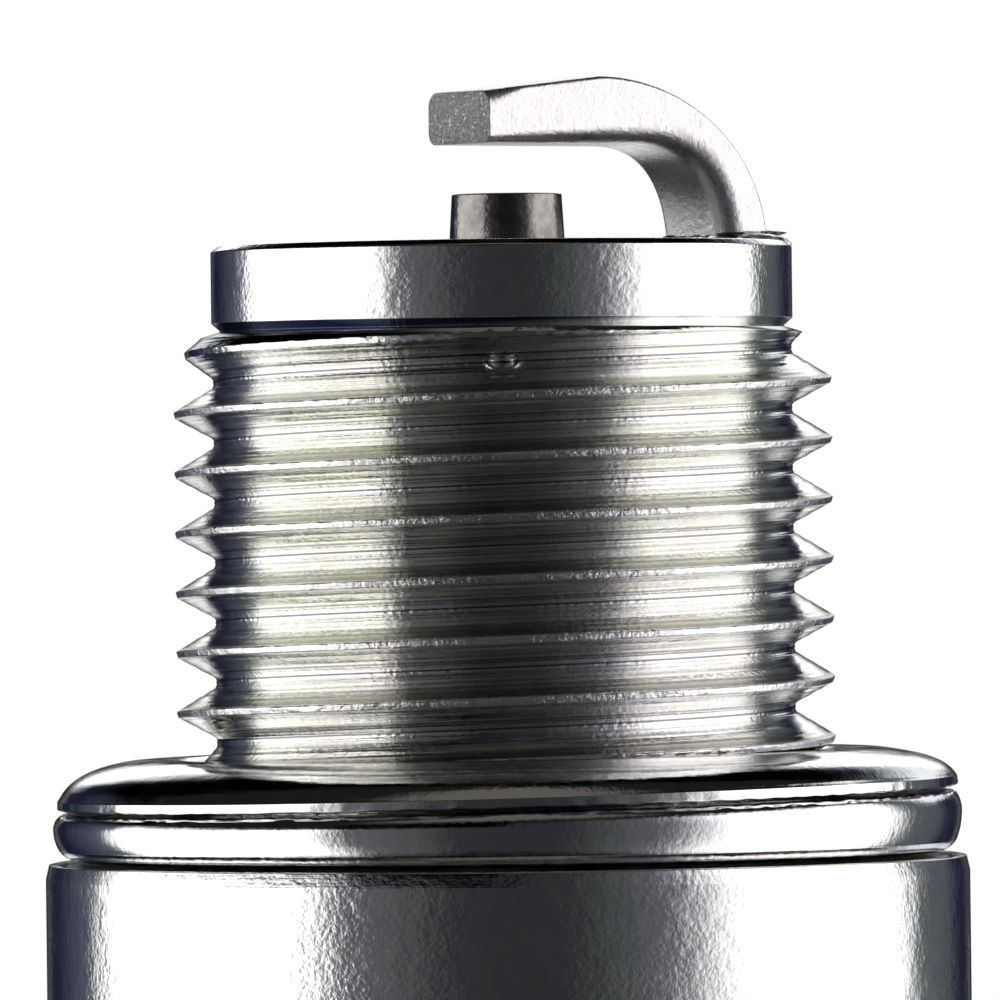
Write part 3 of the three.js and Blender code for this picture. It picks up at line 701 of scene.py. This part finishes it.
def shell():
    """The steel shell in one closed surface, from the lip's inside over the hexagon to the nose and back."""
    bottom = rounded([
        (6.2, -15.3), (6.2, LIP_Z + 0.3, 0.25), (6.6, LIP_Z, 0.3), (7.5, LIP_Z, 0.6), (8.6, -15.3, 0.5),
        (8.9, -14.2), (10.35, -14.2)])
    hexagon = rounded([(11.2, -14.2), (12.01, -13.3), (12.01, -7.9), (11.2, -7.0)])
    middle = rounded([
        (10.35, -7.0), (8.9, -7.0, 0.1), (8.55, -6.8, 0.2), (8.55, -5.7, 0.3), (9.3, -5.1, 0.2),
        (COLLAR_R, -4.9, 0.15), (COLLAR_R, -0.32, 0.02), (COLLAR_R - 0.07, -0.02, 0.02),
        (9.5, 0, 0.02), (NOSE_R, 0, 0.15), (NOSE_R, THREAD_LOW_Z)])
    top = rounded([
        (TOP_GROOVE_R, THREAD_HIGH_Z), (TOP_GROOVE_R - 0.05, THREAD_HIGH_Z + 0.14, 0.03),
        (NOSE_R, NOSE_LAND_Z, 0.02), (NOSE_R, NOSE_Z - 0.11, 0.07), (NOSE_R - 0.15, NOSE_Z, 0.07),
        (4.85, NOSE_Z, 0.1), (4.85, 5.5, 0.1), (4.15, 5.0, 0.1), (4.15, 4.0), (5.05, 3.4), (5.05, -3.0),
        (7.45, -5.0), (7.45, -14.8), (6.2, -15.0, 0.1), (6.2, -15.3)])
    rows = np.concatenate([
        ring_rows(bottom[:-1]),
        hexagon_rows(hexagon),
        ring_rows(middle[:-1]),
        thread_rows(),
        ring_rows(top[1:-1]),
    ])
    made = surface("shell_steel", rows, MATERIALS["plated_shell"], closed=True)
    place(made, "plug_body", "plated_shell", "shell")


def hexagon_rows(line):
    """Rows whose radius is held in by the hexagon's six flats."""
    rows = ring_rows(line)
    angle = np.linspace(0, 2 * math.pi, COLUMNS + 1)
    off_flat = (angle + math.pi / 6) % (math.pi / 3) - math.pi / 6
    flat = HEX_FLAT_R / np.cos(off_flat)
    radius = np.hypot(rows[..., 0], rows[..., 1])
    soft = 0.06  # how far the edge between a flat and its chamfer is eased
    blend = np.clip(0.5 + (radius - flat) / (2 * soft), 0, 1)
    held = radius * (1 - blend) + flat * blend - soft * blend * (1 - blend)
    rows[..., 0] = held * np.cos(angle)
    rows[..., 1] = held * np.sin(angle)
    return rows


# ---------------------------------------------------------------- gasket

GASKET_TILT = math.radians(0.45)
SEAM_TILT = math.radians(0.64)
SEAM_RAISE = 0.15
SEAM_HEIGHTS = (0.3, 1.0, 1.4, 2.15)  # the raise and tilt fade in and out between these
LIP_UNDER_Z = 1.08
DENT_DEPTH = 0.006
RAGGED_DEPTH = 0.02


def gasket():
    """A strip of sheet curled up flat: its cut lip lies outside, over the fold below."""
    dome = curved([
        (6.95, 2.2), (7.6, 2.2), (8.0, 2.17), (8.4, 2.08), (8.75, 1.95), (9.05, 1.77), (9.25, 1.57),
        (9.37, 1.38)])
    lip = rounded([(9.38, 1.36), (9.41, 1.32, 0.03), (9.42, 1.14, 0.04), (9.3, 1.11, 0.04), (9.05, 1.11)])
    under_dome = curved([
        (9.0, 1.15), (8.9, 1.42), (8.6, 1.64), (8.2, 1.79), (7.6, 1.87), (7.15, 1.84), (7.0, 1.67)])
    back = curved([
        (7.0, 1.4), (7.0, 0.6), (7.08, 0.47), (7.4, 0.41), (8.7, 0.41), (8.95, 0.46), (9.05, 0.56),
        (8.9, 0.67), (7.6, 0.7)])
    over_lobe = curved([
        (7.6, 1.05), (8.9, 1.05), (9.22, 1.04), (9.4, 0.97), (9.49, 0.82), (9.5, 0.66), (9.46, 0.46),
        (9.36, 0.26), (9.18, 0.11), (8.9, 0.05)])
    inside = curved([
        (7.0, 0.05), (6.8, 0.12), (6.69, 0.3), (6.66, 0.6), (6.66, 1.7), (6.7, 2.0), (6.8, 2.15)])
    line = np.concatenate([dome, lip, under_dome, back, over_lobe, inside])[::-1]
    rows = ring_rows(line)
    outer = np.hypot(rows[..., 0], rows[..., 1])
    dents = wobble(rows * (1, 1, 0.6), 0.9, seed=3)
    near_lip = np.clip((outer - 9.0) / 0.3, 0, 1)
    ragged = wobble(rows, 3.4, seed=4) * near_lip * (abs(rows[..., 2] - LIP_UNDER_Z) < 0.1)
    rows *= (1 + (DENT_DEPTH * dents + RAGGED_DEPTH * ragged) / outer)[..., None]
    off_neck = np.clip((outer - 7.2) / 1.5, 0, 1)
    seam = np.interp(rows[..., 2], SEAM_HEIGHTS, (0, 1, 1, 0)) * off_neck
    rows[..., 2] += seam * (SEAM_RAISE + math.tan(SEAM_TILT) * rows[..., 0])
    tilt = math.tan(GASKET_TILT) * rows[..., 0] * np.clip(rows[..., 2] / 1.5, 0, 1)
    rows[..., 2] += RAGGED_DEPTH * ragged + tilt
    made = surface("gasket_ring", rows, MATERIALS["gasket_steel"], closed=True)
    place(made, "gasket", "gasket_steel", "gasket")


# ---------------------------------------------------------------- electrodes


BAR_CORNERS = (0.1, 0.3, 0.25, 0.5)  # radii at the root: outer right, outer left, inner left, inner right
TIP_CORNERS = (0.38, 0.32, 0.25, 0.2)
TIP_STARTS = (0.86, 0.8, 0.5, 0.55)  # shares of the bar's length where the radii start to change
BAR_HALF_WIDTH = 1.2
END_ROUGHNESS = 0.022
BEAD_RISE = 0.13


def ground_electrode():
    """The bent bar: rounded sections between its inner and its outer curve, and a rough sheared end."""
    stations = 160
    rows = [bar_section(0, 0)]
    for step in range(stations + 1):
        rows.append(bar_section(step / stations))
    out = np.array([-math.cos(GROUND_TURN), -math.sin(GROUND_TURN), 0])
    loops = 40
    for step in range(loops + 1):
        size = 0.965 * (1 - step / loops)
        loop = bar_section(1, size)
        shear = 0.5 * wobble(loop, 5, seed=5) + 0.8 * wobble(loop, 14, seed=6)
        depth = 0.03 + END_ROUGHNESS * shear * min(1, (1 - size) * 9)
        if step == loops:
            depth = depth.mean()
        rows.append(loop + np.outer(depth * np.ones(len(loop)), out))
    made = surface("ground_bar", np.array(rows), MATERIALS["ground_nickel"])
    place(made, "plug_body", "ground_nickel", "ground_electrode")


def weld_bead():
    """Metal squeezed out round the bar's root, and the lump that it left at the nose's edge."""
    path = bar_section(0, 1.05)[:-1]
    middle = path.mean(axis=0)
    ahead = np.roll(path, -3, axis=0) - np.roll(path, 3, axis=0)
    side = np.stack([ahead[:, 1], -ahead[:, 0], 0 * ahead[:, 0]], axis=-1)
    side /= np.linalg.norm(side, axis=1)[:, None]
    side *= np.sign(((path - middle) * side).sum(axis=1))[:, None]
    thick = 0.08 + 0.05 * wobble(path, 2.2, seed=7) + 0.03 * wobble(path, 6, seed=8)
    thick += 0.03 * np.clip(path[:, 0] - 4.5, 0, 1)
    rows = []
    steps = 16
    for step in range(steps + 1):
        angle = 2 * math.pi * (step % steps) / steps
        ring = path + side * (thick * math.cos(angle))[:, None]
        ring[:, 2] = NOSE_Z + BEAD_RISE + thick * math.sin(angle)
        rows.append(np.concatenate([ring, ring[:1]]))
    bead = surface("weld_bead", np.array(rows), MATERIALS["weld_scale"])
    place(bead, "plug_body", "ground_nickel")
    lump("weld_spur", (5.42, 1.7, NOSE_Z - 0.03), (0.6, 0.5, 0.26), 9, MATERIALS["ground_nickel"])
    lump("weld_flash", (5.4, 2.2, NOSE_Z + 0.2), (0.5, 0.25, 0.09), 10, MATERIALS["weld_scale"])


def lump(name, centre, reach, seed, material):
    """A small uneven blob of weld metal."""
    across = np.linspace(0, math.pi, 25)[:, None]
    around = np.linspace(0, 2 * math.pi, 49)
    level = np.sin(across)
    unit = np.stack([level * np.cos(around), level * np.sin(around), np.cos(across) + 0 * around], axis=-1)
    uneven = 1 + 0.35 * wobble(unit, 1.3, seed) + 0.15 * wobble(unit, 4, seed + 1)
    uneven[:, -1] = uneven[:, 0]
    points = unit * uneven[..., None] * reach + centre
    points[0], points[-1] = points[0, 0], points[-1, 0]
    points[:, -1] = points[:, 0]
    place(surface(name, points[::-1], material), "plug_body", "ground_nickel")


def inner_point(t):
    """The bar's underside from its root on the nose (t = 0) to its tip (t = 1)."""
    bend = 0.42
    root, corner, start, tip = (4.79, NOSE_Z - 0.05), (4.69, GAP_Z), (2.9, GAP_Z), (-BAR_REACH, GAP_Z)
    if t < bend:
        u = t / bend
        weights = (1 - u) ** 2, 2 * u * (1 - u), u * u
        return sum(np.array(p) * w for p, w in zip((root, corner, start), weights))
    u = (t - bend) / (1 - bend)
    return np.array(start) * (1 - u) + np.array(tip) * u


def outer_point(t):
    """The bar's upper side: a quarter of an ellipse, then straight to the tip."""
    bend = 0.52
    centre, reach, rise, tip = (1.8, NOSE_Z), 4.1, 3.5, (-BAR_REACH, NOSE_Z + 3.19)
    if t < bend:
        angle = math.pi / 2 * t / bend
        sunk = 0.05 * (1 - t / bend)
        return np.array((centre[0] + reach * math.cos(angle), centre[1] + rise * math.sin(angle) - sunk))
    u = (t - bend) / (1 - bend)
    return np.array((centre[0], centre[1] + rise)) * (1 - u) + np.array(tip) * u


def bar_section(t, size=1.0):
    """A rounded rectangle across the bar as a closed loop of points, shrunk to size about its middle."""
    per_corner, per_side = 8, 24
    under, over = inner_point(t), outer_point(t)
    middle, across = (under + over) / 2, (over - under) / 2
    half_depth = np.linalg.norm(across)
    across = across / half_depth
    corners = []
    for side in range(4):
        root_radius, tip_radius, start = BAR_CORNERS[side], TIP_CORNERS[side], TIP_STARTS[side]
        radius = float(np.interp(t, (start, 1), (root_radius, tip_radius)))
        centre_w = (BAR_HALF_WIDTH - radius) * (-1 if side in (0, 3) else 1)
        centre_d = (half_depth - radius) * (1 if side in (0, 1) else -1)
        for step in range(per_corner + 1):
            angle = math.pi / 2 * (side + step / per_corner)
            corners.append((centre_w - radius * math.cos(angle), centre_d + radius * math.sin(angle)))
    corners.append(corners[0])
    loop = []
    for index, (first, second) in enumerate(zip(corners, corners[1:])):
        steps = per_side if index % (per_corner + 1) == per_corner else 1
        for step in range(steps):
            loop.append(np.array(first) + (np.array(second) - first) * step / steps)
    loop.append(np.array(corners[0]))
    wide, deep = np.array(loop).T * size
    s, z = middle[:, None] + across[:, None] * deep
    turn_cos, turn_sin = math.cos(GROUND_TURN), math.sin(GROUND_TURN)
    return np.stack([s * turn_cos - wide * turn_sin, s * turn_sin + wide * turn_cos, z], axis=-1)


def centre_electrode():
    """The rod, which stands a little to one side at its tip, as a pressed and fired electrode does."""
    top = CENTRE_TIP_Z
    outline = rounded([
        (0, top), (1.15, top, 0.04), (1.22, top - 1.2), (1.2, 11), (1.21, -1.0, 0.3), (1.75, -1.5, 0.2),
        (1.75, -2.6, 0.1), (0.71, -2.6), (0.71, 11.0, 0.2), (0, 11.46)])
    rows = ring_rows(outline[::-1], FEWER_COLUMNS)
    outer = np.hypot(rows[..., 0], rows[..., 1])
    rows[..., 0] += 0.13 * np.clip((rows[..., 2] - 2) / 11, 0, 1) * np.where(outer > 0.8, 1, 0.9)
    made = surface("centre_electrode_rod", rows, MATERIALS["centre_nickel"])
    place(made, "plug_body", "centre_nickel", "centre_electrode_sheath")


# ---------------------------------------------------------------- insulator and terminal


RIB_TOP_Z = -22.0
RIB_PITCH = 3.2
RIB_R = 5.9
RIB_TAPER = 0.13  # each rib is this much smaller than the one before


def insulator():
    """The ceramic body: firing tip, shoulders inside the shell, and five round ribs over the terminal."""
    outline = [
        (1.3, INSULATOR_TIP_Z, 0.05), (2.6, INSULATOR_TIP_Z, 0.3), (3.2, 6.2, 1.0), (3.9, 5.0, 0.4),
        (3.9, 3.55, 0.1), (4.85, 2.95, 0.2), (4.85, -3.2, 0.4), (7.25, -5.2, 0.4), (7.25, -9.8, 0.4),
        (6.0, -11.2, 0.4), (6.0, -21.0, 0.5)]
    for rib in range(5):
        z = RIB_TOP_Z - RIB_PITCH * rib
        crest = RIB_R - RIB_TAPER * rib
        outline += [
            (crest - 0.75, z - 0.05, 0.6), (crest + 0.12, z - 1.1, 0.7), (crest + 0.02, z - 1.85, 0.7),
            (crest - 0.75, z - 2.95, 0.6)]
    outline += [
        (4.63, -38.2, 0.4), (4.4, INSULATOR_END_Z, 0.35), (1.95, INSULATOR_END_Z, 0.1), (1.95, -1.3),
        (1.3, -0.8)]
    made = turned("insulator_ceramic", outline[::-1], MATERIALS["alumina"], FEWER_COLUMNS)
    place(made, "plug_body", "alumina", "insulator")


STUD_R = 1.95
STUD_TIP_R = 1.7


def stud_rows():
    """The stud's rod and flange, and its end cut with an M4 thread."""
    top = rounded([
        (0, -13.6), (1.6, -13.6, 0.2), (1.6, -16.9), (1.78, -17.2), (1.78, -41.26), (2.9, -41.26, 0.1),
        (2.9, -42.0, 0.1), (STUD_R, -42.0, 0.1)])
    end = rounded([(STUD_TIP_R, -49.9), (1.5, -50.2, 0.1), (0, -50.2)])
    rows = []
    turn = np.linspace(0, 1, FEWER_COLUMNS + 1)
    pitch, depth, high_z, low_z = 0.7, 0.36, -42.2, -49.9
    for lap in range(13):
        for share in np.linspace(0, 1, 14)[:-1]:
            z = high_z + pitch * (1 - lap - share + turn)
            fade = np.clip(np.minimum((high_z - z) / 0.35, (z - low_z) / 0.35), 0, 1)
            tooth = np.clip(abs(share - 0.5) * 2.4 - 0.1, 0, 1)
            radius = STUD_R - depth * fade * tooth
            height = np.clip(z, low_z, high_z)
            radius = np.where(z >= high_z, STUD_R, np.where(z <= low_z, STUD_TIP_R, radius))
            angle = 2 * math.pi * turn
            rows.append(np.stack([radius * np.cos(angle), radius * np.sin(angle), height], axis=-1))
    return np.concatenate([ring_rows(top, FEWER_COLUMNS), np.array(rows), ring_rows(end, FEWER_COLUMNS)])


def terminal():
    """The stud and the waisted nut on its end."""
    stud = surface("stud_steel", stud_rows()[::-1], MATERIALS["plain_steel"])
    place(stud, "plug_body", "plain_steel", "terminal_stud")
    bore, waist, full = 2.06, 2.45, 3.175
    outline = [
        (bore, NUT_TOP_Z, 0.1), (full, NUT_TOP_Z, 0.4), (full, NUT_TOP_Z - 2.0, 0.3),
        (waist, NUT_TOP_Z - 2.7, 0.4), (waist, NUT_END_Z + 3.6, 0.4), (full, NUT_END_Z + 3.0, 0.3),
        (full, NUT_END_Z, 0.5), (bore, NUT_END_Z, 0.15)]
    nut = turned("nut_plated", outline[::-1], MATERIALS["terminal_plate"], FEWER_COLUMNS)
    place(nut, "terminal_nut", "terminal_plate", "terminal_nut")


def inner_pieces():
    """The pieces inside keep their CAD shape and get their materials."""
    for entry in frame["record"]["subparts"]:
        node = frame["nodes"][entry["node"]]
        material = MATERIALS[entry["material_slot"]]
        node.data.materials.clear()
        node.data.materials.append(material)


camera()
studio_light()
floor()
inner_pieces()
shell()
gasket()
ground_electrode()
weld_bead()
centre_electrode()
insulator()
terminal()
bpy.context.scene.view_settings.view_transform = "Standard"
